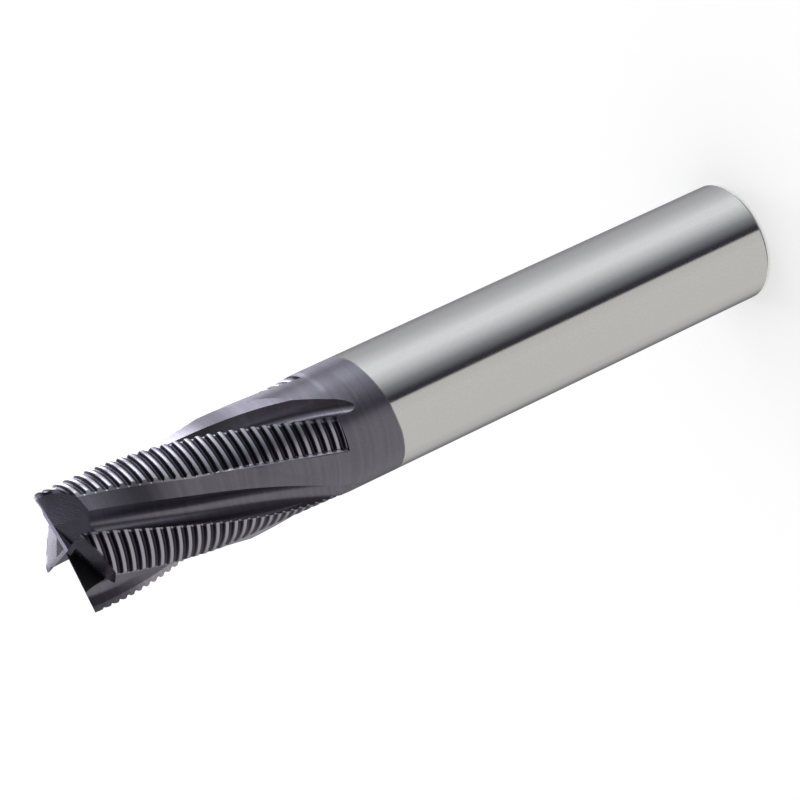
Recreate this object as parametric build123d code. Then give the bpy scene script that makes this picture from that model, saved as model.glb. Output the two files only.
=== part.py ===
from build123d import *
import os
from math import acos, atan2, cos, degrees, hypot, radians, sin, sqrt, tan

# Roughing end mill with four flutes, ground from one solid carbide rod. Millimetres and degrees.
# The tool stands on its shank end: Z = 0 is that end, +Z runs up the axis to the cutting end.
# Seen from the cutting end it turns anticlockwise, so a tooth's leading side is its +angle side.
# A depth is a distance below the cutting end. Each tooth's shape is drawn with its edge on +X.

# Rod
overall_length = 77.8
shank_diameter = 12.0
shank_end_chamfer = 0.5

# Teeth and their lands, which drop from the cutting edge back to the heel. The head taper is how much
# the rod behind the lands grows in diameter towards the neck.
cutting_diameter = 11.9
head_taper = 0.04
tooth_count = 4
helix_angle = 20.0
first_tooth_angle = 12.0
land_angle = 41.0
land_drop = 0.33
rake_angle = 8.0
corner_chamfer = 0.3

# Flutes, ground by a wheel that lifts out of the rod towards the shank
core_diameter = 7.2
gullet_radius = 1.1
gullet_chords = 5
flute_straight_length = 14.0
flute_wheel_radius = 50.0
back_knee_diameter = 9.8
back_knee_angle = 28.0

# Backing off behind each heel, which runs out over a shorter length
back_off_depth = 1.4
back_off_straight_length = 9.0
back_off_wheel_radius = 95.0

# Serrations, ring grooves with sloping flanks across each land
serrated_length = 27.2
serration_pitch = 0.965
groove_width = 0.66
groove_root_width = 0.16
groove_depth = 0.2
first_groove_at = 0.71
least_crest_at_tip = 0.07

# Angle behind the cutting edge over which a land is relieved, narrowing towards the neck
relief_reach_at_tip = 53.0
relief_reach_at_neck = 31.0
relief_full_reach_length = 5.0
groove_stop_short = 1.5

# Ground cutting end
dish_angle = 2.5
end_relief_angle = 15.0
end_land_width = 0.45
end_clearance_angle = 25.0
gash_depth = 1.0
gash_fall_angle = 21.5
gash_rise_angle = 16.0

# How far the cutters stand clear of what they cut, and the spacing of their sections
overrun = 1.0
outside_margin = 3.0
ring_lead_angle = 9.0
section_step = 3.2

shank_radius = shank_diameter / 2
cutting_radius = cutting_diameter / 2
core_radius = core_diameter / 2
heel_radius = cutting_radius - land_drop
knee_radius = back_knee_diameter / 2
tooth_pitch_angle = 360 / tooth_count
heel_angle = tooth_pitch_angle - land_angle
outside_radius = shank_radius + outside_margin
twist_per_mm = degrees(tan(radians(helix_angle)) / cutting_radius)

# A land is an arc about a centre that stands off the axis, on the leading side of its edge
land_centre_offset = (cutting_radius**2 - heel_radius**2) / (2 * heel_radius * sin(radians(land_angle)))
land_arc_radius = hypot(cutting_radius, land_centre_offset)
edge_angle_on_arc = -degrees(atan2(land_centre_offset, cutting_radius))


def polar(radius, angle):
    return Vector(radius * cos(radians(angle)), radius * sin(radians(angle)), 0)


def at_depth(depth, tooth):
    """Place of a tooth's own drawing plane at a depth, turned by the helix."""
    turn = first_tooth_angle + tooth * tooth_pitch_angle - twist_per_mm * depth
    return Pos(0, 0, overall_length - depth) * Rot(0, 0, turn)


def wheel_lift(depth, straight_length, wheel_radius):
    """How far a grinding wheel has drawn out of the rod, past its straight run."""
    past = max(0.0, depth - straight_length)
    return wheel_radius - sqrt(wheel_radius**2 - past**2)


def run_out_end(straight_length, wheel_radius, cut_depth):
    """Depth at which a wheel has lifted by the whole depth of its cut."""
    return straight_length + sqrt(wheel_radius**2 - (wheel_radius - cut_depth) ** 2)


def helical_cutter(section, tooth, straight_length, wheel_radius, cut_depth, lift_angle):
    """A section carried down the helix, lifting out of the rod along its run-out."""
    last = run_out_end(straight_length, wheel_radius, cut_depth)
    steps = round((last + overrun) / section_step)
    sections = []
    for step in range(steps + 1):
        depth = -overrun + (last + overrun) * step / steps
        lift = polar(wheel_lift(depth, straight_length, wheel_radius), lift_angle)
        sections.append(at_depth(depth, tooth) * Pos(lift) * section)
    return loft(sections)


def tangent_touch(point, centre, radius):
    """Where a line from a point touches a circle, on the circle's far left as seen from the point."""
    towards = point - centre
    turn = acos(radius / towards.length)
    return centre + polar(radius, degrees(atan2(towards.Y, towards.X) + turn))


def flute_section():
    """Rake face, rounded gullet and straight back of one flute, closed outside the rod."""
    edge = polar(cutting_radius, 0)
    knee = polar(knee_radius, back_knee_angle)
    inward = polar(-1, rake_angle)
    ahead = polar(1, rake_angle + 90)
    start = edge + ahead * gullet_radius
    along = start.dot(inward)
    to_core = core_radius + gullet_radius
    centre = start - inward * (along + sqrt(along**2 - start.length**2 + to_core**2))
    rake_touch = centre - ahead * gullet_radius
    back_touch = tangent_touch(knee, centre, gullet_radius)
    lowest = centre - centre.normalized() * gullet_radius
    gullet = ThreePointArc(rake_touch, lowest, back_touch)
    floor = [gullet.position_at(step / gullet_chords) for step in range(gullet_chords + 1)]
    rake_out = edge - inward * outside_margin
    back_out = knee + (knee - back_touch).normalized() * outside_radius
    return Face(Wire.make_polygon([rake_out, *floor, back_out]))


def flute_cutter(tooth):
    cut_depth = shank_radius - core_radius
    lift_angle = back_knee_angle / 2
    run_out = (flute_straight_length, flute_wheel_radius)
    return helical_cutter(flute_section(), tooth, *run_out, cut_depth, lift_angle)


def back_off_section():
    """Flat from the flute's back out to the heel of the tooth ahead."""
    knee = polar(knee_radius, back_knee_angle)
    heel = polar(heel_radius, heel_angle)
    along = (heel - knee).normalized()
    clear = Vector(along.Y, -along.X, 0) * outside_margin
    inner = knee - along * overrun
    outer = heel + along * outside_margin
    return Face(Wire.make_polygon([inner, outer, outer + clear, inner + clear]))


def back_off_cutter(tooth):
    run_out = (back_off_straight_length, back_off_wheel_radius)
    return helical_cutter(back_off_section(), tooth, *run_out, back_off_depth, heel_angle)


def relief_reach(depth):
    """Angle behind the cutting edge over which a land is relieved."""
    narrowing_length = serrated_length - relief_full_reach_length
    narrowed = max(0.0, depth - relief_full_reach_length) / narrowing_length
    return relief_reach_at_tip + (relief_reach_at_neck - relief_reach_at_tip) * narrowed


def ring_cutter(profile_points, reach, depth, tooth):
    """A profile of radius and height turned about a land's own centre, over an angle behind its edge."""
    profile = Face(Wire.make_polygon([Vector(radius, 0, height) for radius, height in profile_points]))
    ring = revolve(profile, Axis.Z, revolution_arc=-(reach + ring_lead_angle))
    turned = Rot(0, 0, edge_angle_on_arc + ring_lead_angle) * ring
    return at_depth(depth, tooth) * Pos(0, land_centre_offset, 0) * turned


def groove_cutter(depth, tooth):
    """One groove, its flanks carried on outside the land as far as they go below it."""
    root = land_arc_radius - groove_depth
    outer = land_arc_radius + groove_depth
    root_half = groove_root_width / 2
    outer_half = groove_width - root_half
    profile = [(root, -root_half), (root, root_half), (outer, outer_half), (outer, -outer_half)]
    return ring_cutter(profile, relief_reach(depth) - groove_stop_short, depth, tooth)


def relief_cutter(upper, lower, tooth):
    """Relieves the stretch of a land between two depths, one crest wide."""
    outer = land_arc_radius + outside_margin
    half = (lower - upper) / 2
    middle = (upper + lower) / 2
    profile = [(land_arc_radius, -half), (land_arc_radius, half), (outer, half), (outer, -half)]
    return ring_cutter(profile, relief_reach(middle), middle, tooth)


def groove_depths(tooth):
    """Depths of one land's grooves, staggered so that each tooth cuts what the last one left."""
    first = (first_groove_at + serration_pitch * tooth / tooth_count) % serration_pitch
    if first < groove_width / 2 + least_crest_at_tip:
        first += serration_pitch
    count = int((serrated_length - groove_width / 2 - first) / serration_pitch) + 1
    return [first + serration_pitch * number for number in range(count)]


def relief_cutters(tooth):
    """The bands of land relief meet at groove centres, so the grooves take their seams away."""
    bounds = [-overrun] + groove_depths(tooth) + [serrated_length]
    return [relief_cutter(upper, lower, tooth) for upper, lower in zip(bounds, bounds[1:])]


def sector(start_angle, end_angle):
    """Wedge of space about the axis, from below the cutting end to above it."""
    reach = 2 * outside_radius
    middle_angle = (start_angle + end_angle) / 2
    corners = [polar(reach, angle) for angle in (start_angle, middle_angle, end_angle)]
    return extrude(Face(Wire.make_polygon([Vector(0, 0, 0), *corners])), amount=reach, both=True)


def end_cutters(tooth):
    """Grinds one end tooth. Its edge is dished towards the axis, with a narrow relieved land behind it
    and a steeper clearance behind the land. A gash ahead of the edge falls outwards into the flute, and
    stops short of the land of the tooth ahead."""
    dish = tan(radians(dish_angle))
    relief = tan(radians(end_relief_angle))
    clearance = tan(radians(end_clearance_angle))
    edge_height = -cutting_radius * dish
    edge_start = Vector(0, 0, edge_height)
    land_end = Vector(0, -end_land_width, edge_height - end_land_width * relief)
    gash_start = Vector(end_land_width, 0, -gash_depth)
    gash_normal = Vector(tan(radians(gash_fall_angle)), -tan(radians(gash_rise_angle)), 1)
    behind = sector(-tooth_pitch_angle, 0)
    ahead = Pos(end_land_width, 0, 0) * sector(0, tooth_pitch_angle)
    ground = [
        (behind, Plane(edge_start, z_dir=Vector(-dish, -relief, 1))),
        (behind, Plane(land_end, z_dir=Vector(-dish, -clearance, 1))),
        (ahead, Plane(gash_start, z_dir=gash_normal)),
    ]
    return [at_depth(0, tooth) * split(space, floor, keep=Keep.TOP) for space, floor in ground]


def make_rod():
    """Round rod with a chamfered shank end, ground down and slightly tapered where the teeth will be."""
    standing = (Align.CENTER, Align.CENTER, Align.MIN)
    shank_length = overall_length - serrated_length
    shank = Cylinder(shank_radius, shank_length, align=standing)
    shank = chamfer(shank.edges().sort_by(Axis.Z)[0], shank_end_chamfer)
    neck_radius = cutting_radius + head_taper / 2
    head = Pos(0, 0, shank_length) * Cone(neck_radius, cutting_radius, serrated_length, align=standing)
    head = chamfer(head.edges().sort_by(Axis.Z)[-1], corner_chamfer)
    return shank + head


def make_end_mill():
    mill = make_rod()
    for tooth in range(tooth_count):
        mill -= flute_cutter(tooth)
        mill -= back_off_cutter(tooth)
    for tooth in range(tooth_count):
        mill -= end_cutters(tooth)
    for tooth in range(tooth_count):
        mill -= relief_cutters(tooth)
        mill -= [groove_cutter(depth, tooth) for depth in groove_depths(tooth)]
    return mill


os.makedirs("parts", exist_ok=True)
export_step(make_end_mill(), "parts/end_mill.step")
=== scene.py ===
import math

import bmesh
import bpy
import numpy as np
from mathutils import Matrix, Vector


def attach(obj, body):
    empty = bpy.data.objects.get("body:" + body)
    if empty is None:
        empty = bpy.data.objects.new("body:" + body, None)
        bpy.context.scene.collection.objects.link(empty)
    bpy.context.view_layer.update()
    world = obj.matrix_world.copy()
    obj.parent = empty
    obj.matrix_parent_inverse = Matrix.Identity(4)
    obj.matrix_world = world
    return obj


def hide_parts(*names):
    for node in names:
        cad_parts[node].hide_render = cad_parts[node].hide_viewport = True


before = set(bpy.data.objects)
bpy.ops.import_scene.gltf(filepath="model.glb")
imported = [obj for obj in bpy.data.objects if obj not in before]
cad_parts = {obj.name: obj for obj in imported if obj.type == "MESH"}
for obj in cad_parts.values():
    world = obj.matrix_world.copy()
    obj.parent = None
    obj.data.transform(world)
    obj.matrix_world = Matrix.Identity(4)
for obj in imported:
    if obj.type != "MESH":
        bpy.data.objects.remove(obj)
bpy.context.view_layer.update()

# Roughing end mill with four serrated teeth, ground from one carbide rod. Shapes are worked out in
# millimetres in the frame's own place: the tool stands on its shank end and cuts at its upper end.
# A depth is a distance below the cutting end. A tooth's own drawing has its cutting edge on +X.
MILLIMETRE = 0.001

# Rod
OVERALL_LENGTH = 77.8
SHANK_RADIUS = 6.0
SHANK_END_CHAMFER = 0.5

# Teeth and their lands
CUTTING_RADIUS = 5.95
HEAD_TAPER = 0.04
TOOTH_COUNT = 4
HELIX_ANGLE = 20.0
FIRST_TOOTH_ANGLE = 12.0
LAND_ANGLE = 41.0
LAND_DROP = 0.33
RAKE_ANGLE = 8.0
CORNER_CHAMFER = 0.3

# Flutes and the backing off behind the lands, with the wheels that lift out of the rod
CORE_RADIUS = 3.6
GULLET_RADIUS = 1.1
FLUTE_STRAIGHT_LENGTH = 14.0
FLUTE_WHEEL_RADIUS = 50.0
KNEE_RADIUS = 4.9
KNEE_ANGLE = 28.0
BACK_OFF_STRAIGHT_LENGTH = 9.0
BACK_OFF_WHEEL_RADIUS = 95.0

# Serrations and the relief that they are cut into
SERRATED_LENGTH = 27.2
SERRATION_PITCH = 0.965
GROOVE_DEPTH = 0.2
GROOVE_WIDTH = 0.66
GROOVE_ROOT_WIDTH = 0.16
FIRST_GROOVE_AT = 0.71
LEAST_CREST_AT_TIP = 0.07
RELIEF_REACH_AT_TIP = 53.0
RELIEF_REACH_AT_NECK = 31.0
RELIEF_FULL_REACH_LENGTH = 5.0
GROOVE_STOP_SHORT = 1.5

# What wheels leave rounded or soft: the corners of crests and roots, in millimetres, each groove's end,
# in degrees before and past where it stops, and the step from the head up to the shank
GROOVE_ROUNDING = 0.05
GROOVE_FADE_BEFORE = 1.2
GROOVE_FADE_PAST = 0.4
NECK_BLEND = 0.8

# Ground cutting end
DISH_ANGLE = 2.5
END_RELIEF_ANGLE = 15.0
END_LAND_WIDTH = 0.45
END_CLEARANCE_ANGLE = 25.0
GASH_DEPTH = 1.0
GASH_FALL_ANGLE = 21.5
GASH_RISE_ANGLE = 16.0

TOOTH_PITCH_ANGLE = 360 / TOOTH_COUNT
HEEL_RADIUS = CUTTING_RADIUS - LAND_DROP
HEEL_ANGLE = TOOTH_PITCH_ANGLE - LAND_ANGLE
LOWEST_LAND = HEEL_RADIUS - GROOVE_DEPTH
TWIST_PER_MM = math.degrees(math.tan(math.radians(HELIX_ANGLE)) / CUTTING_RADIUS)

# A land is an arc about a centre that stands off the axis, on the leading side of its edge
HEEL_TO_SIDE = HEEL_RADIUS * math.sin(math.radians(LAND_ANGLE))
LAND_CENTRE_OFFSET = (CUTTING_RADIUS**2 - HEEL_RADIUS**2) / (2 * HEEL_TO_SIDE)
LAND_ARC_RADIUS = math.hypot(CUTTING_RADIUS, LAND_CENTRE_OFFSET)

# Depths in the mesh: where the ground tip is joined on, where the flutes are out, and where the points
# of a ring have evened out. Then the plain shank's rings, by their heights.
TIP_LENGTH = 4.2
FLUTES_END = 29.6
EVEN_FROM = 32.0
SHANK_RING_HEIGHTS = (44.5, 40, 35, 30, 25, 20, 15, 10, 5)

# Rings in a pitch of the serrations, above the cutting end, in the flutes' run-out and in the stretch
# that evens out, and then the points of a ring's quarter: in the flute, the flat, the rod and the land
RINGS_PER_PITCH = 12
RINGS_ABOVE_END = 10
RUN_OUT_RINGS = 20
EVENING_RINGS = 14
FLUTE_POINTS = 21
BACK_POINTS = 5
ROUND_POINTS = 7
LAND_POINTS = 18
POINTS_PER_RING = (FLUTE_POINTS + BACK_POINTS + ROUND_POINTS + LAND_POINTS) * TOOTH_COUNT

# Degrees past a land's start that get points, over which its relief runs out softly, where the step
# there is more than so many millimetres
RELIEF_RUN_OUT_ANGLES = (0.0, 0.8, 1.7, 2.6, 3.5)
LEAST_RELIEF_STEP = 0.002

# How a flute's wall is traced: points on each of its three parts, the length of its straight parts,
# which end outside the rod, and how much closer the mesh's points stand in the gullet
WALL_POINTS = 400
WALL_LENGTH = 6.0
GULLET_CLOSENESS = 4.5

# How a heel is found: points that are tried, and how near the relief's end, in degrees, it is taken to
# lie on it
HEEL_SEARCH_POINTS = 700
HEEL_SNAP_ANGLE = 0.2
SAME_ANGLE = 0.01

# Small distances, in millimetres
MERGE_DISTANCE = 2e-4
TOUCHING = 1e-4
NEARLY_NOTHING = 1e-6

# Reach and height of the cutters that grind the end, and their lap over the gash ahead, in degrees
CUTTER_REACH = 12.0
CUTTER_TOP = 8.0
CUTTER_LAP = 5.0

# Corners at least this sharp, in degrees, stay sharp in the shading
SHARP_ALONG = 12.0
SHARP_ACROSS = 35.0


# Shape of one cross-section

def polar(radius, angle):
    """A point, or points, at a radius and an angle in degrees."""
    turned = np.radians(angle)
    return np.stack([radius * np.cos(turned), radius * np.sin(turned)], axis=-1)


def angle_of(points):
    """Angle about the axis of a point, or of points, in degrees."""
    return np.degrees(np.arctan2(points[..., 1], points[..., 0]))


def smooth(value, start, end):
    """Soft step from 0 at start to 1 at end."""
    share = np.clip((value - start) / (end - start), 0, 1)
    return share * share * (3 - 2 * share)


def tooth_turn(tooth, depth=0.0):
    """How far a tooth's own drawing is turned in the frame at a depth."""
    return FIRST_TOOTH_ANGLE + tooth * TOOTH_PITCH_ANGLE - TWIST_PER_MM * depth


def tooth_ahead(tooth):
    return (tooth + 1) % TOOTH_COUNT


def wheel_lift(depth, straight_length, wheel_radius):
    """How far a grinding wheel has drawn out of the rod, past its straight run."""
    past = min(max(0.0, depth - straight_length), wheel_radius)
    return wheel_radius - math.sqrt(wheel_radius**2 - past**2)


def trace_flute():
    """Dense points of a flute's wall: in along the rake face, round the gullet, out along the back.
    With them comes a count of the way along it, in which the gullet counts for more, so that points
    at even counts stand closer there."""
    edge = polar(CUTTING_RADIUS, 0.0)
    knee = polar(KNEE_RADIUS, KNEE_ANGLE)
    inward = polar(-1.0, RAKE_ANGLE)
    ahead = polar(1.0, RAKE_ANGLE + 90)
    start = edge + ahead * GULLET_RADIUS
    along = float(start @ inward)
    to_core = CORE_RADIUS + GULLET_RADIUS
    centre = start - inward * (along + math.sqrt(along**2 - start @ start + to_core**2))
    rake_touch = centre - ahead * GULLET_RADIUS
    towards = knee - centre
    distance = float(np.hypot(*towards))
    touch_angle = angle_of(towards) + math.degrees(math.acos(GULLET_RADIUS / distance))
    back_touch = centre + polar(GULLET_RADIUS, touch_angle)
    turn_from = float(angle_of(-ahead))
    turn_to = float(touch_angle)
    while turn_to > turn_from:
        turn_to -= 360
    steps = np.linspace(0, 1, WALL_POINTS)
    rake = rake_touch - inward * WALL_LENGTH * (1 - steps[:, None])
    gullet = centre + polar(GULLET_RADIUS, turn_from + (turn_to - turn_from) * steps)
    outward = (knee - back_touch) / np.hypot(*(knee - back_touch))
    back = back_touch + outward * WALL_LENGTH * steps[:, None]
    points = np.concatenate([rake, gullet[1:], back[1:]])
    gaps = np.hypot(*np.diff(points, axis=0).T)
    straight = np.full(WALL_POINTS - 1, 1.0)
    closeness = np.concatenate([straight, straight * GULLET_CLOSENESS, straight])
    counts = np.concatenate([[0.0], np.cumsum(gaps * closeness)])
    return points, counts


FLUTE_WALL, FLUTE_COUNTS = trace_flute()
LIFT_WAY = polar(1.0, KNEE_ANGLE / 2)


def flute_wall(depth):
    """A flute's wall at a depth: points, their angles and distances, and which is nearest the axis."""
    wall = FLUTE_WALL + LIFT_WAY * wheel_lift(depth, FLUTE_STRAIGHT_LENGTH, FLUTE_WHEEL_RADIUS)
    distance = np.hypot(wall[:, 0], wall[:, 1])
    return wall, angle_of(wall), distance, int(np.argmin(distance))


def relief_reach(depth):
    """Angle behind a cutting edge over which its land is relieved."""
    narrowing_length = SERRATED_LENGTH - RELIEF_FULL_REACH_LENGTH
    share = max(0.0, depth - RELIEF_FULL_REACH_LENGTH) / narrowing_length
    return RELIEF_REACH_AT_TIP + (RELIEF_REACH_AT_NECK - RELIEF_REACH_AT_TIP) * min(share, 1.0)


def groove_at(depth, tooth):
    """How deep a tooth's land is serrated at a depth: rounded crests and rounded roots."""
    first = (FIRST_GROOVE_AT + SERRATION_PITCH * tooth / TOOTH_COUNT) % SERRATION_PITCH
    if first < GROOVE_WIDTH / 2 + LEAST_CREST_AT_TIP:
        first += SERRATION_PITCH
    last = int((SERRATED_LENGTH - GROOVE_WIDTH / 2 - first) / SERRATION_PITCH)
    number = min(max(round((depth - first) / SERRATION_PITCH), 0), last)
    off_centre = abs(depth - first - number * SERRATION_PITCH)
    flank_out = GROOVE_WIDTH / 2 + GROOVE_ROUNDING
    flank_in = GROOVE_ROOT_WIDTH / 2 - GROOVE_ROUNDING
    return GROOVE_DEPTH * float(smooth(off_centre, flank_out, flank_in))


def land_radius(behind, depth, tooth):
    """Radius of a relieved and serrated land at angles behind its edge."""
    turned = np.radians(-behind)
    to_side = LAND_CENTRE_OFFSET * np.sin(turned)
    arc = to_side + np.sqrt(LAND_ARC_RADIUS**2 - (LAND_CENTRE_OFFSET * np.cos(turned)) ** 2)
    groove_end = relief_reach(depth) - GROOVE_STOP_SHORT
    faded = smooth(behind, groove_end - GROOVE_FADE_BEFORE, groove_end + GROOVE_FADE_PAST)
    serrated = np.minimum(arc, CUTTING_RADIUS) - groove_at(depth, tooth) * (1 - faded)
    corner = CUTTING_RADIUS - max(0.0, CORNER_CHAMFER - depth)
    return np.minimum(serrated, corner)


def back_off_radius(angles, depth):
    """Radius of the flat behind the heel of the tooth ahead."""
    knee = polar(KNEE_RADIUS, KNEE_ANGLE)
    heel = polar(HEEL_RADIUS, HEEL_ANGLE)
    along = (heel - knee) / np.hypot(*(heel - knee))
    outward = np.array([along[1], -along[0]])
    lift = wheel_lift(depth, BACK_OFF_STRAIGHT_LENGTH, BACK_OFF_WHEEL_RADIUS)
    lifted = heel + polar(lift, HEEL_ANGLE)
    return float(lifted @ outward) / np.maximum(polar(1.0, angles) @ outward, NEARLY_NOTHING)


def round_radius(depth):
    """Radius of the rod where nothing else is ground: the head, and the neck that it runs out to."""
    head = CUTTING_RADIUS + HEAD_TAPER / 2 * min(max(0.0, depth) / SERRATED_LENGTH, 1.0)
    risen = float(smooth(depth, SERRATED_LENGTH, SERRATED_LENGTH + NECK_BLEND))
    return head + (SHANK_RADIUS - head) * risen


def land_or_rod(behind, depth, tooth, relieved):
    """Radius at angles behind a tooth's edge: its land, or past the serrations the round rod."""
    if relieved:
        return land_radius(behind, depth, tooth)
    return np.full(len(behind), round_radius(depth))


def outer_radius(angles, depth, tooth, relieved):
    """Radius outside the flutes, at angles from a tooth's edge to the edge of the tooth ahead."""
    radius = np.full(np.shape(angles), round_radius(depth))
    if relieved:
        behind = TOOTH_PITCH_ANGLE - angles
        land = land_radius(behind, depth, tooth_ahead(tooth))
        radius = np.where(behind <= relief_reach(depth), land, radius)
    return radius


def crossing(clear, inner, outer):
    """Count at which a flute's wall leaves the rod, between a point inside it and the next outside."""
    return np.interp(0, [clear[inner], clear[outer]], [FLUTE_COUNTS[inner], FLUTE_COUNTS[outer]])


def flute_points(depth, tooth, relieved):
    """A flute's wall inside the rod. The land of the tooth at its start bounds it on one side, and the
    back of the tooth ahead on the other. Past its run-out all its points are one point on the rod."""
    wall, angles, distance, lowest = flute_wall(depth)
    front = land_or_rod(-angles[:lowest], depth, tooth, relieved)
    rear = outer_radius(angles[lowest:], depth, tooth, relieved)
    rear = np.minimum(rear, back_off_radius(angles[lowest:], depth))
    clear = distance - np.concatenate([front, rear])
    if clear[lowest] >= 0:
        return polar(np.full(FLUTE_POINTS, round_radius(depth)), angles[lowest])
    inside = np.flatnonzero(clear < 0)
    first = inside[inside <= lowest].min()
    last = lowest + np.flatnonzero(clear[lowest:] >= 0).min() - 1
    starts = crossing(clear, first, first - 1)
    ends = crossing(clear, last, last + 1)
    counts = np.linspace(starts, ends, FLUTE_POINTS)
    return np.stack([np.interp(counts, FLUTE_COUNTS, wall[:, i]) for i in (0, 1)], axis=-1)


def edge_point(depth, tooth, relieved):
    """Where the rake face meets the land of the tooth ahead, drawn in that tooth's own place."""
    wall, angles, distance, lowest = flute_wall(depth)
    clear = distance[:lowest] - land_or_rod(-angles[:lowest], depth, tooth_ahead(tooth), relieved)
    if distance[lowest] >= round_radius(depth) or not (clear < 0).any():
        return polar(round_radius(depth), angles[lowest])
    first = int(np.flatnonzero(clear < 0).min())
    share = clear[first - 1] / (clear[first - 1] - clear[first])
    return wall[first - 1] + (wall[first] - wall[first - 1]) * share


def land_points(depth, tooth, relieved, start_at, edge_at, starts_at_relief):
    """The land of the tooth ahead, from its start to its cutting edge."""
    near = start_at + np.array(RELIEF_RUN_OUT_ANGLES)
    rest = np.linspace(near[-1], edge_at, LAND_POINTS - len(near) + 1)[1:]
    angles = np.concatenate([near, rest])
    if not relieved:
        return polar(np.full(LAND_POINTS, round_radius(depth)), angles)
    radius = land_radius(TOOTH_PITCH_ANGLE - angles, depth, tooth_ahead(tooth))
    unground = min(round_radius(depth), float(back_off_radius(start_at, depth)))
    if starts_at_relief and unground > radius[0] + LEAST_RELIEF_STEP:
        # the relief runs out softly into what is left of the rod behind it
        radius = unground + (radius - unground) * smooth(angles, start_at, near[-1])
    return polar(np.minimum(radius, back_off_radius(angles, depth)), angles)


def sector(depth, tooth, relieved):
    """One quarter of the cross-section, from a tooth's edge to the edge of the tooth ahead of it.
    The points come in four runs: flute, back-off flat, round rod and land."""
    flute = flute_points(depth, tooth, relieved)
    knee_at = float(angle_of(flute[-1]))
    edge_at = TOOTH_PITCH_ANGLE + float(angle_of(edge_point(depth, tooth, relieved)))
    relief_at = TOOTH_PITCH_ANGLE - relief_reach(depth) if relieved else edge_at - RELIEF_REACH_AT_NECK
    search = np.linspace(knee_at, edge_at, HEEL_SEARCH_POINTS)
    outer = outer_radius(search, depth, tooth, relieved)
    on_flat = back_off_radius(search, depth) < outer - TOUCHING
    heel_at = float(search[np.flatnonzero(~on_flat).min()])
    if abs(heel_at - relief_at) < HEEL_SNAP_ANGLE:
        heel_at = relief_at
    land_at = max(relief_at, heel_at)
    flat_angles = np.linspace(knee_at, heel_at, BACK_POINTS)
    outer = outer_radius(flat_angles - NEARLY_NOTHING, depth, tooth, relieved)
    flat = polar(np.minimum(back_off_radius(flat_angles, depth), outer), flat_angles)
    round_angles = np.linspace(heel_at, land_at, ROUND_POINTS)
    round_part = polar(np.full(ROUND_POINTS, round_radius(depth)), round_angles)
    if land_at == heel_at:
        round_part[:] = flat[-1]
    land = land_points(depth, tooth, relieved, land_at, edge_at, land_at - relief_at < SAME_ANGLE)
    return np.concatenate([flute, flat, round_part, land])


def ring(depth, relieved):
    """A whole cross-section at a depth, as points in the frame, in millimetres."""
    parts = []
    for tooth in range(TOOTH_COUNT):
        points = sector(depth, tooth, relieved)
        turned = angle_of(points) + tooth_turn(tooth, depth)
        parts.append(polar(np.hypot(points[:, 0], points[:, 1]), turned))
    level = np.concatenate(parts)
    return np.column_stack([level, np.full(len(level), OVERALL_LENGTH - depth)])


def round_ring(angles, radius, height):
    """A round cross-section with its points at given angles."""
    level = polar(np.full(len(angles), radius), angles)
    return np.column_stack([level, np.full(len(level), height)])


# Mesh

def mesh_from(made, name):
    """Keeps a mesh in the making under a name."""
    mesh = bpy.data.meshes.new(name)
    made.to_mesh(mesh)
    made.free()
    return mesh


def put(name, data):
    """Puts an object of that name in the scene."""
    made = bpy.data.objects.new(name, data)
    bpy.context.scene.collection.objects.link(made)
    return made


def tube_of(rings, name, cap_first=False):
    """A tube of rings, closed by a flat cap at its last ring and perhaps its first, with its collapsed
    faces removed."""
    made = bmesh.new()
    corners = [made.verts.new(point) for point in np.concatenate(rings)]
    for upper in range(0, (len(rings) - 1) * POINTS_PER_RING, POINTS_PER_RING):
        lower = upper + POINTS_PER_RING
        for at in range(POINTS_PER_RING):
            after = (at + 1) % POINTS_PER_RING
            face = (upper + at, lower + at, lower + after, upper + after)
            made.faces.new([corners[i] for i in face])
    if cap_first:
        made.faces.new(corners[:POINTS_PER_RING])
    made.faces.new(reversed(corners[-POINTS_PER_RING:]))
    bmesh.ops.remove_doubles(made, verts=made.verts, dist=MERGE_DISTANCE)
    bmesh.ops.dissolve_degenerate(made, edges=made.edges, dist=TOUCHING)
    bmesh.ops.recalc_face_normals(made, faces=made.faces)
    return mesh_from(made, name)


def end_cutter(tooth, corner, angles, normal, at):
    """A wedge of space above a ground plane, over a sector that starts from a corner."""
    outline = [np.array(corner)] + [corner + polar(CUTTER_REACH, angle) for angle in angles]
    made = bmesh.new()
    low = []
    for x, y in outline:
        fall = (normal[0] * (x - at[0]) + normal[1] * (y - at[1])) / normal[2]
        low.append(made.verts.new((x, y, at[2] - fall)))
    high = [made.verts.new((x, y, CUTTER_TOP)) for x, y in outline]
    made.faces.new(reversed(low))
    made.faces.new(high)
    for i in range(len(low)):
        after = (i + 1) % len(low)
        made.faces.new((low[i], low[after], high[after], high[i]))
    bmesh.ops.recalc_face_normals(made, faces=made.faces)
    turn = Matrix.Rotation(math.radians(tooth_turn(tooth)), 4, "Z")
    place = Matrix.Translation((0, 0, OVERALL_LENGTH)) @ turn
    bmesh.ops.transform(made, matrix=place, verts=made.verts)
    return put("end_cutter", mesh_from(made, "end_cutter"))


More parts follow.
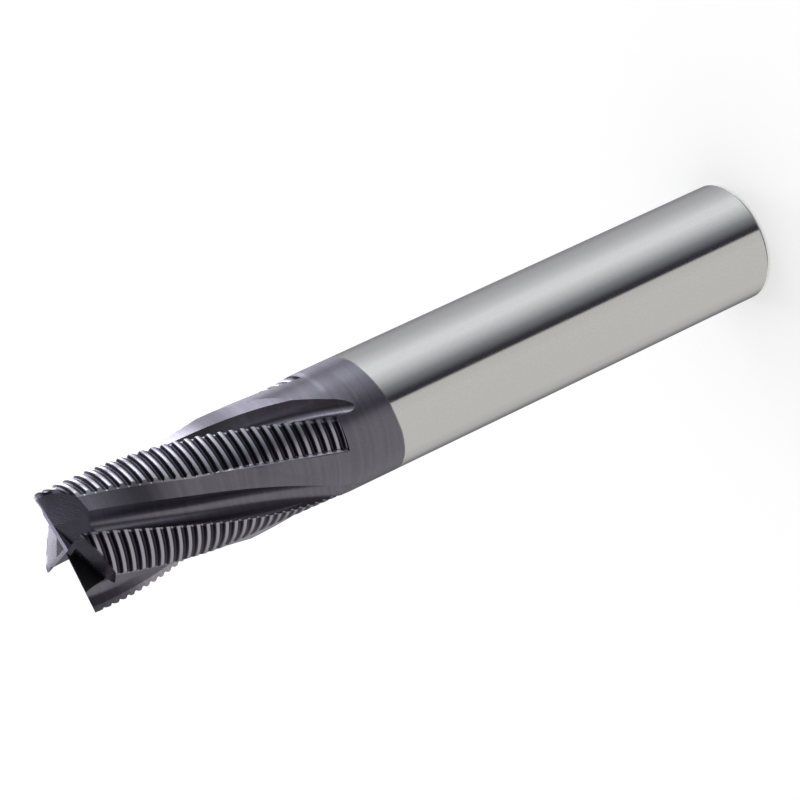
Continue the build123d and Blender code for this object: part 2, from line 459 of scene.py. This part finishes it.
def end_cutters():
    """What each end tooth's relieved land, the clearance behind it and the gash ahead of it take away.
    A cutter behind an edge laps over the gash ahead, which is deeper there and leaves its own face."""
    sloped = (DISH_ANGLE, END_RELIEF_ANGLE, END_CLEARANCE_ANGLE, GASH_FALL_ANGLE, GASH_RISE_ANGLE)
    dish, relief, clearance, fall, rise = (math.tan(math.radians(angle)) for angle in sloped)
    width = END_LAND_WIDTH
    edge_height = -CUTTING_RADIUS * dish
    centre = (0.0, 0.0)
    land_end = (0, -width, edge_height - width * relief)
    behind = (-TOOTH_PITCH_ANGLE, -TOOTH_PITCH_ANGLE / 2, CUTTER_LAP)
    ahead = (0.0, TOOTH_PITCH_ANGLE / 2, TOOTH_PITCH_ANGLE)
    made = []
    for tooth in range(TOOTH_COUNT):
        made.append(end_cutter(tooth, centre, behind, (-dish, -relief, 1.0), (0, 0, edge_height)))
        made.append(end_cutter(tooth, centre, behind, (-dish, -clearance, 1.0), land_end))
        made.append(end_cutter(tooth, (width, 0.0), ahead, (fall, -rise, 1.0), (width, 0, -GASH_DEPTH)))
    return made


def grind_end(mesh):
    """The tip's mesh with the relieved and gashed end faces ground into it."""
    tip = put("tip", mesh)
    for cutter in end_cutters():
        cut = tip.modifiers.new("grind", "BOOLEAN")
        cut.operation = "DIFFERENCE"
        cut.solver = "MANIFOLD"
        cut.object = cutter
        ground = tip.evaluated_get(bpy.context.evaluated_depsgraph_get())
        mesh = bpy.data.meshes.new_from_object(ground)
        tip.modifiers.clear()
        tip.data = mesh
        bpy.data.objects.remove(cutter)
    bpy.data.objects.remove(tip)
    return mesh


def drop_flaps(made):
    """Removes slivers that grinding the end leaves: pairs of faces back to back on the same corners."""
    pairs = {}
    for face in made.faces:
        pairs.setdefault(frozenset(face.verts), []).append(face)
    flaps = [face for faces in pairs.values() if len(faces) > 1 for face in faces]
    bmesh.ops.delete(made, geom=flaps, context="FACES")


def join(tip, body, seam):
    """The ground tip and the rest as one closed mesh in metres, its ground corners marked sharp."""
    made = bmesh.new()
    made.from_mesh(tip)
    caps = [face for face in made.faces if all(abs(v.co.z - seam) < TOUCHING for v in face.verts)]
    bmesh.ops.delete(made, geom=caps, context="FACES_ONLY")
    made.from_mesh(body)
    bmesh.ops.remove_doubles(made, verts=made.verts, dist=MERGE_DISTANCE)
    tip_faces = [face for face in made.faces if face.calc_center_median().z > seam]
    bmesh.ops.triangulate(made, faces=tip_faces)
    drop_flaps(made)
    loose = [vert for vert in made.verts if not vert.link_faces]
    bmesh.ops.delete(made, geom=loose, context="VERTS")
    bmesh.ops.recalc_face_normals(made, faces=made.faces)
    for edge in made.edges:
        across = abs(edge.verts[0].co.z - edge.verts[1].co.z) < TOUCHING
        edge.smooth = edge.calc_face_angle(0) < math.radians(SHARP_ACROSS if across else SHARP_ALONG)
    for face in made.faces:
        face.smooth = True
    bmesh.ops.scale(made, vec=(MILLIMETRE,) * 3, verts=made.verts)
    return mesh_from(made, "end_mill_ground")


def serrated_levels():
    """Depths of the rings over the teeth, from above the cutting end, so that the end is ground from
    full rod. Every tooth's groove centres lie on rings."""
    step = SERRATION_PITCH / RINGS_PER_PITCH
    return np.arange(FIRST_GROOVE_AT % step - RINGS_ABOVE_END * step, SERRATED_LENGTH, step)


def body_rings(levels):
    """Rings from below the tip down to the shank's end."""
    rings = [ring(depth, True) for depth in levels]
    rings += [ring(SERRATED_LENGTH - NEARLY_NOTHING, True), ring(SERRATED_LENGTH, False)]
    run_out = np.linspace(SERRATED_LENGTH, FLUTES_END, RUN_OUT_RINGS)
    rings += [ring(depth, False) for depth in run_out[1:]]
    uneven = np.unwrap(angle_of(rings[-1][:, :2]), period=360)
    even = uneven[0] + np.arange(POINTS_PER_RING) * 360 / POINTS_PER_RING
    shares = np.linspace(0, 1, EVENING_RINGS)
    depths = np.linspace(FLUTES_END, EVEN_FROM, EVENING_RINGS)
    for share, depth in zip(shares[1:], depths[1:]):
        rings.append(round_ring(uneven + (even - uneven) * share, SHANK_RADIUS, OVERALL_LENGTH - depth))
    for height in (*SHANK_RING_HEIGHTS, SHANK_END_CHAMFER):
        rings.append(round_ring(even, SHANK_RADIUS, height))
    rings.append(round_ring(even, SHANK_RADIUS - SHANK_END_CHAMFER, 0.0))
    return rings


def grind_mill():
    """The whole tool as one closed mesh."""
    levels = serrated_levels()
    split_at = int(np.searchsorted(levels, TIP_LENGTH))
    tip_rings = [ring(depth, True) for depth in levels[: split_at + 1]]
    tip = grind_end(tube_of(tip_rings, "tip", cap_first=True))
    body = tube_of([tip_rings[-1]] + body_rings(levels[split_at + 1 :]), "body")
    return join(tip, body, OVERALL_LENGTH - levels[split_at])


mill = put("end_mill_ground", grind_mill())


# Finishes

# Sizes of the patterns in the finishes, in millimetres. Grinding scratches are a few thousandths wide,
# carbide grains about one and a coating's droplets a few, so these three are drawn twenty times as
# coarse or more, to show at all. Feed marks are the broader rings that a wheel's slow travel leaves,
# which show as bands in the coating's tone.
GRINDING_LINE = 0.11
GRINDING_DEPTH = 0.0009
END_LINE_DEPTH = 0.00015
CARBIDE_GRAIN = 0.09
COATING_DROPLET = 0.13
COATING_CLOUD = 5.0
FEED_MARK = 0.45

# How much a pattern varies along x, y and z, where less draws it out that way
EVENLY = (1.0, 1.0, 1.0)
ROUND_THE_ROD = (0.05, 0.05, 1.0)
ALONG_A_FLUTE = (1.0, 1.0, 0.03)
ACROSS_AN_END_FACE = (1.0, 0.05, 0.05)
FEED_RINGS = (0.03, 0.03, 1.0)
LONG_CLOUDS = (1.0, 1.0, 0.4)

# Noise lies mostly between these two values, and these are its amounts of fine detail
NOISE = (0.3, 0.7)
PLAIN_DETAIL = 2.0
DROPLET_DETAIL = 3.0

# How much each pattern counts in the coating's tone
CLOUD_PART = 0.35
DROPLET_PART = 0.3
FEED_PART = 0.35

# The coating ends on the plain neck. Its lower edge is not square to the axis, because the masking
# sleeve sat a little crooked, and it is slightly ragged.
COATED_LENGTH = 32.5
COATING_EDGE_RISE = 0.7
COATING_EDGE_LOW_SIDE = -178.0
COATING_EDGE_BLUR = 0.09
COATING_EDGE_WAVE = 1.6
COATING_EDGE_RAGGED = 0.2

# Painted highlights: the crests are lighter in colour, and so is a line along each cutting edge and
# each heel, where light would catch them. The first three are degrees behind an edge: its line's width
# and blur, and where the heel's line lies at most. The pairs are degrees short of a land's end, between
# which a line, or a crest's painted highlight and a root's painted shade, comes or goes.
EDGE_LINE = 1.6
EDGE_LINE_BLUR = 0.8
HEEL_LINE_AT = 44.5
HEEL_LINE_COMES = (-1.2, -0.4)
HEEL_LINE_GOES = (1.6, 0.6)
PAINTED_LAND_COMES = (-0.5, 2.0)
LINE_HIGHLIGHT = 0.8

# Where a crest's painted highlight comes in past its corner, and where a root's painted shade starts
# and is full, as parts of the serration pitch
CREST_HIGHLIGHT_BLUR = 0.08
ROOT_SHADE_FROM = 0.02
ROOT_SHADE_FULL = 0.14

# Blurs between what is on a land and what isn't, in millimetres
LINES_BLUR = 0.15
LAND_BLUR = 0.06
NECK_BLUR = 0.1

# Colours and roughness, each from its least to its most
BARE_COLOURS = ("#cfcfd0", "#d6d6d5")
COATING_COLOURS = ("#6a6872", "#7d7a85")
# painted highlight colour of the crests and the edge and heel lines
CREST_HIGHLIGHT_COLOUR = "#acaab5"
# painted shade colour down in the roots
ROOT_SHADE_COLOUR = "#3e3b47"
BARE_ROUGHNESS = (0.07, 0.13)
COATING_ROUGHNESS = (0.31, 0.34)
END_ROUGHNESS = (0.27, 0.3)

# The end faces are the only ones within this depth that face this nearly straight up
END_FACE_DEPTH = 3.2
END_FACE_UPWARD = 0.87

# What takes the height out of a place or a way
LEVEL = (1.0, 1.0, 0.0)

# Settings that several nodes share
PLUS = {"operation": "ADD"}
LESS = {"operation": "SUBTRACT"}
TIMES = {"operation": "MULTIPLY"}
TIMES_PLUS = {"operation": "MULTIPLY_ADD"}
ALONG = {"operation": "DOT_PRODUCT"}
SOFTLY = {"interpolation_type": "SMOOTHSTEP"}
COLOURS = {"data_type": "RGBA"}
VALUES = {"data_type": "FLOAT"}
ABOUT_AXIS = {"rotation_type": "Z_AXIS"}


def linear(code):
    """A colour written as sRGB hex, as the linear values that shaders take."""
    values = [int(code[i : i + 2], 16) / 255 for i in (1, 3, 5)]
    return [v / 12.92 if v <= 0.04045 else ((v + 0.055) / 1.055) ** 2.4 for v in values] + [1.0]


def add(tree, kind, settings=None, links=None):
    """Adds one node with its settings. Each input takes a value, a socket, or a node, which stands for
    the first output that its settings leave in use. A Mix node takes two values as its inputs 2 and 3,
    and two colours as 6 and 7."""
    made = tree.nodes.new("ShaderNode" + kind)
    for name, value in (settings or {}).items():
        setattr(made, name, value)
    for name, value in (links or {}).items():
        if isinstance(value, bpy.types.Node):
            value = next(socket for socket in value.outputs if socket.enabled)
        if isinstance(value, bpy.types.NodeSocket):
            tree.links.new(value, made.inputs[name])
        else:
            made.inputs[name].default_value = value
    return made


def between(value, start, end, low=0.0, high=1.0):
    """Inputs that carry a value from low to high as it goes from start to end."""
    return {"Value": value, "From Min": start, "From Max": end, "To Min": low, "To Max": high}


def new_material(name):
    made = bpy.data.materials.new(name)
    made.use_nodes = True
    made.node_tree.nodes.clear()
    return made


def in_millimetres(tree):
    """The place on the tool, in millimetres."""
    place = add(tree, "TexCoord").outputs["Object"]
    return add(tree, "VectorMath", {"operation": "SCALE"}, {0: place, "Scale": 1 / MILLIMETRE})


def depth_of(tree, place):
    """Depth below the cutting end, in millimetres."""
    height = add(tree, "SeparateXYZ", links={0: place}).outputs["Z"]
    return add(tree, "Math", LESS, {0: OVERALL_LENGTH, 1: height})


def radius_of(tree, place):
    """Distance from the axis, in millimetres."""
    flat = add(tree, "VectorMath", TIMES, {0: place, 1: LEVEL})
    return add(tree, "VectorMath", {"operation": "LENGTH"}, {0: flat})


def untwisted(tree, place):
    """The place turned back by the helix, so that a flute runs straight along the axis."""
    turn = add(tree, "Math", TIMES, {0: depth_of(tree, place), 1: math.radians(TWIST_PER_MM)})
    return add(tree, "VectorRotate", ABOUT_AXIS, {"Vector": place, "Angle": turn})


def grain(tree, place, stretch, size, detail=PLAIN_DETAIL):
    """A grain whose marks have one size in millimetres, drawn out along the ways of little stretch."""
    drawn = add(tree, "VectorMath", TIMES, {0: place, 1: stretch})
    return add(tree, "TexNoise", links={"Vector": drawn, "Scale": 1 / size, "Detail": detail})


def grinding_lines(tree, place):
    """Rings of centreless grinding on the round surfaces, and lines along the helix in the flutes."""
    round_lines = grain(tree, place, ROUND_THE_ROD, GRINDING_LINE)
    flute_lines = grain(tree, untwisted(tree, place), ALONG_A_FLUTE, GRINDING_LINE)
    radius = radius_of(tree, place)
    outside = add(tree, "MapRange", SOFTLY, between(radius, LOWEST_LAND - LINES_BLUR, LOWEST_LAND))
    return add(tree, "Mix", VALUES, {0: outside, 2: flute_lines, 3: round_lines})


def coating_share(tree, place):
    """1 on the coating and 0 on bare carbide."""
    low_side = (*polar(COATING_EDGE_RISE / SHANK_RADIUS, COATING_EDGE_LOW_SIDE), 0.0)
    tilt = add(tree, "VectorMath", ALONG, {0: place, 1: low_side})
    wave = grain(tree, place, EVENLY, COATING_EDGE_WAVE)
    ragged = add(tree, "Math", TIMES, {0: wave, 1: COATING_EDGE_RAGGED})
    crooked = add(tree, "Math", PLUS, {0: tilt, 1: ragged})
    edge = add(tree, "Math", PLUS, {0: crooked, 1: COATED_LENGTH})
    past = add(tree, "Math", LESS, {0: depth_of(tree, place), 1: edge})
    return add(tree, "MapRange", SOFTLY, between(past, COATING_EDGE_BLUR, -COATING_EDGE_BLUR))


def place_on_land(tree, place, depth):
    """Degrees behind the cutting edge that a point belongs to, and how far it is along the axis from
    the nearest groove's centre, as a part of the pitch."""
    level = add(tree, "SeparateXYZ", links={0: untwisted(tree, place)}).outputs
    turned = add(tree, "Math", {"operation": "ARCTAN2"}, {0: level["Y"], 1: level["X"]})
    angle = add(tree, "Math", TIMES, {0: turned, 1: math.degrees(1)})
    from_first = add(tree, "Math", LESS, {0: angle, 1: FIRST_TOOTH_ANGLE})
    pitches = add(tree, "Math", TIMES, {0: from_first, 1: 1 / TOOTH_PITCH_ANGLE})
    tooth = add(tree, "Math", {"operation": "CEIL"}, {0: pitches})
    backwards = add(tree, "Math", TIMES, {0: from_first, 1: -1.0})
    behind = add(tree, "Math", TIMES_PLUS, {0: tooth, 1: TOOTH_PITCH_ANGLE, 2: backwards})
    first_groove = -FIRST_GROOVE_AT / SERRATION_PITCH
    along = add(tree, "Math", TIMES_PLUS, {0: depth, 1: 1 / SERRATION_PITCH, 2: first_groove})
    staggered = add(tree, "Math", TIMES_PLUS, {0: tooth, 1: -1 / TOOTH_COUNT, 2: along})
    return behind, add(tree, "Math", {"operation": "PINGPONG"}, {0: staggered, 1: 0.5})


def serration_highlight_and_shade(tree, place):
    """How far a point gets painted highlight, up on a crest or on an edge or heel line, and how far it
    gets painted shade, down in a root.
    """
    depth = depth_of(tree, place)
    behind, off_root = place_on_land(tree, place, depth)
    reach = (RELIEF_REACH_AT_TIP - GROOVE_STOP_SHORT, RELIEF_REACH_AT_NECK - GROOVE_STOP_SHORT)
    narrowing = between(depth, RELIEF_FULL_REACH_LENGTH, SERRATED_LENGTH, *reach)
    groove_end = add(tree, "MapRange", links=narrowing)
    land_end = add(tree, "Math", {"operation": "MINIMUM"}, {0: groove_end, 1: HEEL_LINE_AT})
    short_of_end = add(tree, "Math", LESS, {0: land_end, 1: behind})
    within = add(tree, "MapRange", SOFTLY, between(short_of_end, *PAINTED_LAND_COMES))
    radius = radius_of(tree, place)
    outside = add(tree, "MapRange", SOFTLY, between(radius, LOWEST_LAND - LAND_BLUR, LOWEST_LAND))
    on_head = between(depth, SERRATED_LENGTH, SERRATED_LENGTH - NECK_BLUR)
    above_neck = add(tree, "MapRange", SOFTLY, on_head)
    on_tooth = add(tree, "Math", TIMES, {0: outside, 1: above_neck})
    on_land = add(tree, "Math", TIMES, {0: within, 1: on_tooth})

    # painted highlight lines along each cutting edge and each heel
    edge_line = add(tree, "MapRange", SOFTLY, between(behind, EDGE_LINE + EDGE_LINE_BLUR, EDGE_LINE))
    heel_comes = add(tree, "MapRange", SOFTLY, between(short_of_end, *HEEL_LINE_COMES))
    heel_goes = add(tree, "MapRange", SOFTLY, between(short_of_end, *HEEL_LINE_GOES))
    heel_line = add(tree, "Math", TIMES, {0: heel_comes, 1: heel_goes})
    lines = add(tree, "Math", PLUS, {0: edge_line, 1: heel_line})
    line = add(tree, "Math", TIMES, {0: on_tooth, 1: lines})
    line_highlight = add(tree, "Math", TIMES, {0: line, 1: LINE_HIGHLIGHT})

    corner = (GROOVE_WIDTH / 2 - GROOVE_ROUNDING) / SERRATION_PITCH
    raised = add(tree, "MapRange", SOFTLY, between(off_root, corner, corner + CREST_HIGHLIGHT_BLUR))
    crest = add(tree, "Math", TIMES, {0: on_land, 1: raised})
    # painted highlight: the crests and the edge and heel lines
    polished = add(tree, "Math", {"operation": "MAXIMUM"}, {0: crest, 1: line_highlight})
    # painted shade down in the roots, kept off the highlight lines
    sunk = add(tree, "MapRange", SOFTLY, between(off_root, corner + ROOT_SHADE_FROM, corner - ROOT_SHADE_FULL))
    root = add(tree, "Math", TIMES, {0: on_land, 1: sunk})
    off_line = add(tree, "Math", LESS, {0: 1.0, 1: line})
    return polished, add(tree, "Math", TIMES, {0: root, 1: off_line})


def coating_colour(tree, place):
    """Dark violet grey, clouded, with painted highlights on the crests and the edge and heel lines, and
    painted shade down in the roots.
    """
    patterns = (
        (grain(tree, place, LONG_CLOUDS, COATING_CLOUD), CLOUD_PART),
        (grain(tree, place, EVENLY, COATING_DROPLET, DROPLET_DETAIL), DROPLET_PART),
        (grain(tree, place, FEED_RINGS, FEED_MARK), FEED_PART),
    )
    tone = 0.0
    for pattern, part in patterns:
        tone = add(tree, "Math", TIMES_PLUS, {0: pattern, 1: part, 2: tone})
    share = add(tree, "MapRange", SOFTLY, between(tone, *NOISE))
    dark, light = (linear(colour) for colour in COATING_COLOURS)
    plain = add(tree, "Mix", COLOURS, {0: share, 6: dark, 7: light})
    crest, root = serration_highlight_and_shade(tree, place)
    # painted highlight on the crests and lines, then painted shade in the roots
    with_highlight = add(tree, "Mix", COLOURS, {0: crest, 6: plain, 7: linear(CREST_HIGHLIGHT_COLOUR)})
    return add(tree, "Mix", COLOURS, {0: root, 6: with_highlight, 7: linear(ROOT_SHADE_COLOUR)})


def metal_surface(tree, colour, rough, lines, line_depth):
    """Joins a finish's colour, roughness and ground lines in one metal surface."""
    relief = {"Height": lines, "Strength": 1.0, "Distance": line_depth * MILLIMETRE}
    finish = {"Base Color": colour, "Metallic": 1.0, "Roughness": rough}
    shader = add(tree, "BsdfPrincipled", links={**finish, "Normal": add(tree, "Bump", links=relief)})
    add(tree, "OutputMaterial", links={0: shader})


def ground_carbide():
    """Cemented carbide, centreless ground and polished on the shank: a bright neutral metal with fine
    rings and a slight grain. Above its edge a vapour-deposited nitride coating, darker, violet grey and
    less glossy, which lets the grinding lines show through."""
    made = new_material("ground_and_coated_carbide")
    tree = made.node_tree
    place = in_millimetres(tree)
    coated = coating_share(tree, place)
    lines = grinding_lines(tree, place)
    speckle = grain(tree, place, EVENLY, CARBIDE_GRAIN)
    share = add(tree, "MapRange", SOFTLY, between(speckle, *NOISE))
    dark, light = (linear(colour) for colour in BARE_COLOURS)
    bare = add(tree, "Mix", COLOURS, {0: share, 6: dark, 7: light})
    colour = add(tree, "Mix", COLOURS, {0: coated, 6: bare, 7: coating_colour(tree, place)})
    bare_rough = add(tree, "MapRange", SOFTLY, between(speckle, *NOISE, *BARE_ROUGHNESS))
    coat_rough = add(tree, "MapRange", SOFTLY, between(lines, *NOISE, *COATING_ROUGHNESS))
    rough = add(tree, "Mix", VALUES, {0: coated, 2: bare_rough, 3: coat_rough})
    metal_surface(tree, colour, rough, lines, GRINDING_DEPTH)
    return made


def ground_end():
    """The same coated carbide where the end teeth were ground with a cup wheel: straight fine lines
    across each end face, and a little more gloss than on the lands."""
    made = new_material("ground_end_faces")
    tree = made.node_tree
    place = in_millimetres(tree)
    turn = math.radians(TOOTH_PITCH_ANGLE / 2 - FIRST_TOOTH_ANGLE)
    turned = add(tree, "VectorRotate", ABOUT_AXIS, {"Vector": place, "Angle": turn})
    lines = grain(tree, turned, ACROSS_AN_END_FACE, GRINDING_LINE)
    rough = add(tree, "MapRange", SOFTLY, between(lines, *NOISE, *END_ROUGHNESS))
    metal_surface(tree, coating_colour(tree, place), rough, lines, END_LINE_DEPTH)
    return made


mill.data.materials.append(ground_carbide())
mill.data.materials.append(ground_end())
for face in mill.data.polygons:
    near_end = face.center.z > (OVERALL_LENGTH - END_FACE_DEPTH) * MILLIMETRE
    face.material_index = int(near_end and face.normal.z > END_FACE_UPWARD)
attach(mill, "root")
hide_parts("end_mill")


# Studio

# What the metal sees round it, as headings in degrees and how light the tent is there: a white wall on
# the tool's near side with one crisp edge, a dark gap beside it, then a bright card and a grey one
TENT_LIGHT = (
    (-180.0, "#dedbd6"),
    (-116.0, "#dfddd9"),
    (-94.0, "#d8d6d3"),
    (-91.5, "#36343a"),
    (-84.0, "#3a383e"),
    (-66.0, "#919498"),
    (-48.0, "#d6d9db"),
    (-30.0, "#fbfdff"),
    (-14.0, "#f8fbfd"),
    (0.0, "#e1e3e6"),
    (20.0, "#c9cacd"),
    (44.0, "#b7b7bb"),
    (64.0, "#98989d"),
    (116.0, "#7e7e82"),
    (140.0, "#c8c7c6"),
    (164.0, "#dcdad6"),
    (180.0, "#dedbd6"),
)
TENT_RADIUS = 1.2
TENT_PANELS = 96
TENT_TIERS = 48

# The tent's ceiling, which comes in between two height angles. It goes from dark on the near side to
# lighter on the far side, between two places given as parts of the tent's radius.
CEILING_HEIGHT_ANGLES = (2.0, 20.0)
CEILING_TURNS_LIGHT = (-0.2, 0.3)
CEILING_COLOURS = ("#2a292e", "#6e6d73")

# Strip lights inside the tent: heading, half width, lower and upper height angle, brightness. Two stand
# just above the height that the round shank mirrors to the camera, so that only the rougher coating
# picks them up. The other two hang higher and light the end teeth's narrow lands.
STRIP_LIGHTS = (
    (-4.0, 15.0, -21.0, -2.0, 3.0),
    (50.0, 16.0, -21.0, -2.0, 10.0),
    (74.0, 9.0, 8.0, 24.0, 6.0),
    (96.0, 14.0, 46.0, 56.0, 20.0),
)
STRIP_BLUR = 3.0

# Softboxes: name, heading, height angle and power in watts
SOFTBOXES = (("rim_softbox", 66.0, 16.0, 0.3), ("side_softbox", 2.0, 6.0, 0.2))
SOFTBOX_DISTANCE = 0.5
SOFTBOX_WIDTH = 0.14

# The world lights the tool a little less than it shows, and the floor glows only where it is looked at
WORLD_LEVEL = 0.75
FLOOR_RADIUS = 4.0
FLOOR_SEGMENTS = 96
FLOOR_GLOW = 0.32
PAPER_COLOUR = "#f0f0f0"


def strip_light(tree, way, heading, half_width, low, high, level):
    """Brightness of one strip light, as wide and as high as its angles say."""
    at = (*polar(1.0, heading), 0.0)
    flat = add(tree, "VectorMath", TIMES, {0: way, 1: LEVEL})
    level_way = add(tree, "VectorMath", {"operation": "NORMALIZE"}, {0: flat})
    facing = add(tree, "VectorMath", ALONG, {0: level_way, 1: at})
    sides = [math.cos(math.radians(angle)) for angle in (half_width + STRIP_BLUR, half_width)]
    across = add(tree, "MapRange", SOFTLY, between(facing, *sides))
    height = add(tree, "SeparateXYZ", links={0: way}).outputs["Z"]
    angles = (low - STRIP_BLUR, low, high, high + STRIP_BLUR)
    ends = [TENT_RADIUS * math.sin(math.radians(angle)) for angle in angles]
    above = add(tree, "MapRange", SOFTLY, between(height, ends[0], ends[1]))
    below = add(tree, "MapRange", SOFTLY, between(height, ends[3], ends[2]))
    upright = add(tree, "Math", TIMES, {0: above, 1: below})
    lit = add(tree, "Math", TIMES, {0: across, 1: level})
    return add(tree, "Math", TIMES, {0: upright, 1: lit})


def tent_cloth():
    """White and grey cloth lit from outside, with the strip lights in it. It is seen only in metal."""
    made = new_material("tent_cloth")
    tree = made.node_tree
    way = add(tree, "TexCoord").outputs["Object"]
    split = add(tree, "SeparateXYZ", links={0: way}).outputs
    heading = add(tree, "Math", {"operation": "ARCTAN2"}, {0: split["Y"], 1: split["X"]})
    turns = add(tree, "Math", TIMES, {0: heading, 1: 0.5 / math.pi})
    wall = add(tree, "ValToRGB", links={0: add(tree, "Math", PLUS, {0: turns, 1: 0.5})})
    stops = wall.color_ramp.elements
    for number, (at, colour) in enumerate(TENT_LIGHT):
        # a new ramp comes with two stops
        stop = stops[number] if number < 2 else stops.new(1.0)
        stop.position = at / 360 + 0.5
        stop.color = linear(colour)
    height = add(tree, "Math", {"operation": "DIVIDE"}, {0: split["Z"], 1: TENT_RADIUS})
    rise = [math.sin(math.radians(angle)) for angle in CEILING_HEIGHT_ANGLES]
    overhead = add(tree, "MapRange", SOFTLY, between(height, *rise))
    turns_light = [part * TENT_RADIUS for part in CEILING_TURNS_LIGHT]
    farther = add(tree, "MapRange", SOFTLY, between(split["Y"], *turns_light))
    near, far = (linear(colour) for colour in CEILING_COLOURS)
    ceiling = add(tree, "Mix", COLOURS, {0: farther, 6: near, 7: far})
    colour = add(tree, "Mix", COLOURS, {0: overhead, 6: wall, 7: ceiling})
    level = 1.0
    for strip in STRIP_LIGHTS:
        level = add(tree, "Math", PLUS, {0: level, 1: strip_light(tree, way, *strip)})
    glow = add(tree, "Emission", links={"Color": colour, "Strength": level})
    add(tree, "OutputMaterial", links={0: glow})
    made.cycles.emission_sampling = "NONE"
    return made


def pitch_tent():
    """A round tent that only reflections see, light to the tool's own height and dark overhead."""
    made = bmesh.new()
    bmesh.ops.create_uvsphere(made, u_segments=TENT_PANELS, v_segments=TENT_TIERS, radius=TENT_RADIUS)
    tent = put("light_tent", mesh_from(made, "light_tent"))
    tent.location = (0, 0, OVERALL_LENGTH / 2 * MILLIMETRE)
    tent.data.materials.append(tent_cloth())
    for face in tent.data.polygons:
        face.use_smooth = True
    tent.visible_camera = False
    tent.visible_diffuse = False
    tent.visible_transmission = False
    tent.visible_shadow = False


def seen_directly(tree):
    """1 for the rays that show the background: from the camera, off metal and through glass."""
    ray = add(tree, "LightPath").outputs
    seen = add(tree, "Math", PLUS, {0: ray["Is Camera Ray"], 1: ray["Is Glossy Ray"]})
    return add(tree, "Math", {**PLUS, "use_clamp": True}, {0: seen, 1: ray["Is Transmission Ray"]})


def light_world():
    """White all round, in full where it shows and a little less in the light that it gives."""
    world = bpy.data.worlds.new("studio")
    bpy.context.scene.world = world
    world.use_nodes = True
    tree = world.node_tree
    tree.nodes.clear()
    level = add(tree, "Mix", VALUES, {0: seen_directly(tree), 2: WORLD_LEVEL, 3: 1.0})
    white = add(tree, "Background", links={"Color": linear("#ffffff"), "Strength": level})
    add(tree, "OutputWorld", links={0: white})
    world.cycles.sampling_method = "NONE"


def white_paper():
    """Matt white paper. It brightens to white where it is looked at, and its shadow stays."""
    made = new_material("white_paper")
    tree = made.node_tree
    lit = add(tree, "BsdfDiffuse", links={"Color": linear(PAPER_COLOUR)})
    level = add(tree, "Math", TIMES, {0: seen_directly(tree), 1: FLOOR_GLOW})
    glow = add(tree, "Emission", links={"Strength": level})
    both = add(tree, "AddShader", links={0: lit, 1: glow})
    add(tree, "OutputMaterial", links={0: both})
    return made


def lay_floor():
    """A round sheet of paper under the tool, which the metal doesn't mirror."""
    made = bmesh.new()
    bmesh.ops.create_circle(made, cap_ends=True, radius=FLOOR_RADIUS, segments=FLOOR_SEGMENTS)
    floor = put("floor", mesh_from(made, "floor"))
    floor.data.materials.append(white_paper())
    floor.visible_glossy = False


def hang_softbox(name, heading, height_angle, power):
    """A square softbox turned to the middle of the teeth."""
    data = bpy.data.lights.new(name, "AREA")
    data.shape = "RECTANGLE"
    data.size = SOFTBOX_WIDTH
    data.size_y = SOFTBOX_WIDTH
    data.energy = power
    lamp = put(name, data)
    rise = math.radians(height_angle)
    level = polar(math.cos(rise) * SOFTBOX_DISTANCE, heading)
    middle = Vector((0, 0, (OVERALL_LENGTH - SERRATED_LENGTH / 2) * MILLIMETRE))
    lamp.location = middle + Vector((level[0], level[1], math.sin(rise) * SOFTBOX_DISTANCE))
    lamp.rotation_mode = "QUATERNION"
    lamp.rotation_quaternion = (lamp.location - middle).to_track_quat("Z", "Y")
    lamp.visible_camera = False


light_world()
pitch_tent()
lay_floor()
for softbox in SOFTBOXES:
    hang_softbox(*softbox)


# Camera, from where the photograph was taken

# The picture is square, and its sizes are in pixels: its width, the focal length, and the place of the
# middle of the cutting end
PICTURE = 800
FOCAL_LENGTH = 3380.0
TIP_AT = (63.6, 554.0)
SENSOR_WIDTH = 36.0

# The cutting end's distance in millimetres, the axis's angle in the picture, how far the shank leans
# away from the camera, and the heading that points up in the picture
TIP_DISTANCE = 298.5
AXIS_ANGLE = 25.21
AXIS_LEAN = 27.5
UPWARD_HEADING = 2.0

# Nearest and farthest that the camera sees, in metres
CLIP = (0.01, 20.0)


def place_camera():
    """Directions here are right, down and away. The tool's axis is taken from its tip to its shank."""
    swing = math.radians(AXIS_ANGLE)
    lean = math.radians(AXIS_LEAN)
    level = Vector((math.cos(swing), -math.sin(swing), 0)) * math.cos(lean)
    axis = level + Vector((0, 0, math.sin(lean)))
    away = Vector((0, 0, 1))
    down = away.cross(axis).normalized()
    back = axis.cross(down)
    right_and_down = [(at - PICTURE / 2) / FOCAL_LENGTH * TIP_DISTANCE for at in TIP_AT]
    tip = Vector((*right_and_down, TIP_DISTANCE))
    side = polar(1.0, UPWARD_HEADING)
    rear = polar(1.0, UPWARD_HEADING + 90)
    in_frame = Matrix(((side[0], rear[0], 0), (side[1], rear[1], 0), (0, 0, 1)))
    from_camera = in_frame @ Matrix((-down, back, -axis))
    data = bpy.data.cameras.new("camera")
    data.sensor_width = SENSOR_WIDTH
    data.lens = FOCAL_LENGTH * SENSOR_WIDTH / PICTURE
    data.clip_start, data.clip_end = CLIP
    camera = put("camera", data)
    spot = (Vector((0, 0, OVERALL_LENGTH)) - from_camera @ tip) * MILLIMETRE
    axes = from_camera @ Matrix(((1, 0, 0), (0, -1, 0), (0, 0, -1)))
    camera.matrix_world = Matrix.Translation(spot) @ axes.to_4x4()
    bpy.context.scene.camera = camera


place_camera()
bpy.context.scene.view_settings.view_transform = "Standard"
